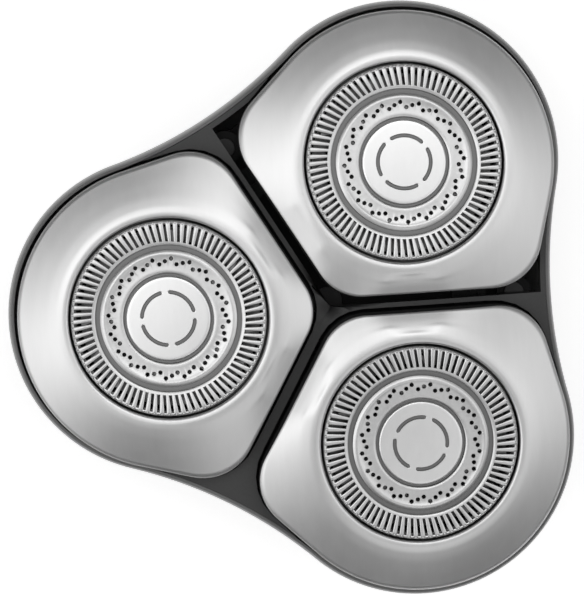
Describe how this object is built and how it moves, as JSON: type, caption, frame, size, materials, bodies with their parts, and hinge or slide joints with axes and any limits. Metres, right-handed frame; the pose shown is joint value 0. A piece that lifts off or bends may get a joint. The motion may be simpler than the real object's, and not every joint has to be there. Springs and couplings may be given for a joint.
{
  "type": "rotary shaver head unit",
  "caption": "Clover-shaped rotary shaving unit: sprung tilting satin-steel heads with slotted caps over geared cutters, in a dark frame and grey housing with a round handle collar.",
  "frame": {"origin": "on the unit's axis, at the open end of the round collar that takes the handle's neck", "axes": "+Z along the unit's axis towards the shaving face; head 1 points 60 degrees from +X towards +Y, head 2 along -X, head 3 at 300 degrees"},
  "size_m": [0.0589, 0.0628, 0.0219],
  "materials": {
    "housing_plastic": "semi-gloss moulded grey",
    "frame_plastic": "matte dark grey",
    "black_plastic": "matte black",
    "white_plastic": "natural acetal white",
    "plate_steel": "fine satin",
    "cap_steel": "ground, slotted track",
    "disc_steel": "bright satin",
    "cutter_steel": "hardened, ground edges",
    "screw_black": "black oxide",
    "pin_steel": "bright drawn",
    "spring_steel": "drawn wire"
  },
  "bodies": {
    "base": {"back_housing": "housing_plastic", "bearing_plate": "black_plastic", "front_frame": "frame_plastic", "plate_screws": "screw_black", "axle_pin_1": "pin_steel", "axle_pin_2": "pin_steel", "axle_pin_3": "pin_steel"},
    "drive": {"drive_coupling": "white_plastic", "drive_gear": "white_plastic"},
    "gear_1": {"driven_gear_1": "white_plastic", "spindle_spring_1": "spring_steel"},
    "spindle_1_slide": {"spindle_1": "white_plastic"},
    "plate_1": {"skin_plate_1": "plate_steel", "head_carrier_1": "black_plastic", "retaining_ring_1": "black_plastic"},
    "cap_1": {"shaving_cap_1": "cap_steel", "cap_disc_1": "disc_steel"},
    "cutter_1_spin": {"cutter_1": "cutter_steel", "cutter_hub_1": "white_plastic"},
    "gear_2": {"driven_gear_2": "white_plastic", "spindle_spring_2": "spring_steel"},
    "spindle_2_slide": {"spindle_2": "white_plastic"},
    "plate_2": {"skin_plate_2": "plate_steel", "head_carrier_2": "black_plastic", "retaining_ring_2": "black_plastic"},
    "cap_2": {"shaving_cap_2": "cap_steel", "cap_disc_2": "disc_steel"},
    "cutter_2_spin": {"cutter_2": "cutter_steel", "cutter_hub_2": "white_plastic"},
    "gear_3": {"driven_gear_3": "white_plastic", "spindle_spring_3": "spring_steel"},
    "spindle_3_slide": {"spindle_3": "white_plastic"},
    "plate_3": {"skin_plate_3": "plate_steel", "head_carrier_3": "black_plastic", "retaining_ring_3": "black_plastic"},
    "cap_3": {"shaving_cap_3": "cap_steel", "cap_disc_3": "disc_steel"},
    "cutter_3_spin": {"cutter_3": "cutter_steel", "cutter_hub_3": "white_plastic"}
  },
  "joints": [
    {"name": "drive_spin", "type": "hinge", "parent": "base", "child": "drive", "pos_m": [0, 0, 0.0053], "axis": [0, 0, 1], "continuous": true},
    {"name": "gear_1_spin", "type": "hinge", "parent": "base", "child": "gear_1", "pos_m": [0.00825, 0.01429, 0.008], "axis": [0, 0, 1], "continuous": true},
    {"name": "head_1_tilt", "type": "hinge", "parent": "base", "child": "plate_1", "pos_m": [0.00825, 0.01429, 0.0152], "axis": [-0.866, 0.5, 0], "range_deg": [-4, 4], "stiffness_Nm_per_rad": 0.05},
    {"name": "head_1_float", "type": "slide", "parent": "plate_1", "child": "cap_1", "axis": [0.0479, 0.083, 0.9954], "range_m": [-0.0008, 0], "stiffness_N_per_m": 400, "springref_m": 0.001},
    {"name": "spindle_1_lift", "type": "slide", "parent": "gear_1", "child": "spindle_1_slide", "axis": [0, 0, 1], "range_m": [-0.0008, 0], "deforming": ["spindle_spring_1"]},
    {"name": "cutter_1_spin", "type": "hinge", "parent": "cap_1", "child": "cutter_1_spin", "pos_m": [0.00825, 0.01429, 0.0152], "axis": [0.0479, 0.083, 0.9954], "continuous": true},
    {"name": "gear_2_spin", "type": "hinge", "parent": "base", "child": "gear_2", "pos_m": [-0.0165, 0, 0.008], "axis": [0, 0, 1], "continuous": true},
    {"name": "head_2_tilt", "type": "hinge", "parent": "base", "child": "plate_2", "pos_m": [-0.0165, 0, 0.0152], "axis": [0, -1, 0], "range_deg": [-4, 4], "stiffness_Nm_per_rad": 0.05},
    {"name": "head_2_float", "type": "slide", "parent": "plate_2", "child": "cap_2", "axis": [-0.0958, 0, 0.9954], "range_m": [-0.0008, 0], "stiffness_N_per_m": 400, "springref_m": 0.001},
    {"name": "spindle_2_lift", "type": "slide", "parent": "gear_2", "child": "spindle_2_slide", "axis": [0, 0, 1], "range_m": [-0.0008, 0], "deforming": ["spindle_spring_2"]},
    {"name": "cutter_2_spin", "type": "hinge", "parent": "cap_2", "child": "cutter_2_spin", "pos_m": [-0.0165, 0, 0.0152], "axis": [-0.0958, 0, 0.9954], "continuous": true},
    {"name": "gear_3_spin", "type": "hinge", "parent": "base", "child": "gear_3", "pos_m": [0.00825, -0.01429, 0.008], "axis": [0, 0, 1], "continuous": true},
    {"name": "head_3_tilt", "type": "hinge", "parent": "base", "child": "plate_3", "pos_m": [0.00825, -0.01429, 0.0152], "axis": [0.866, 0.5, 0], "range_deg": [-4, 4], "stiffness_Nm_per_rad": 0.05},
    {"name": "head_3_float", "type": "slide", "parent": "plate_3", "child": "cap_3", "axis": [0.0479, -0.083, 0.9954], "range_m": [-0.0008, 0], "stiffness_N_per_m": 400, "springref_m": 0.001},
    {"name": "spindle_3_lift", "type": "slide", "parent": "gear_3", "child": "spindle_3_slide", "axis": [0, 0, 1], "range_m": [-0.0008, 0], "deforming": ["spindle_spring_3"]},
    {"name": "cutter_3_spin", "type": "hinge", "parent": "cap_3", "child": "cutter_3_spin", "pos_m": [0.00825, -0.01429, 0.0152], "axis": [0.0479, -0.083, 0.9954], "continuous": true}
  ],
  "couplings": [
    {"joint": "gear_1_spin", "follows": "drive_spin", "ratio": -0.69231},
    {"joint": "cutter_1_spin", "follows": "drive_spin", "ratio": -0.69231},
    {"joint": "spindle_1_lift", "follows": "head_1_float", "ratio": 0.9954},
    {"joint": "gear_2_spin", "follows": "drive_spin", "ratio": -0.69231},
    {"joint": "cutter_2_spin", "follows": "drive_spin", "ratio": -0.69231},
    {"joint": "spindle_2_lift", "follows": "head_2_float", "ratio": 0.9954},
    {"joint": "gear_3_spin", "follows": "drive_spin", "ratio": -0.69231},
    {"joint": "cutter_3_spin", "follows": "drive_spin", "ratio": -0.69231},
    {"joint": "spindle_3_lift", "follows": "head_3_float", "ratio": 0.9954}
  ]
}
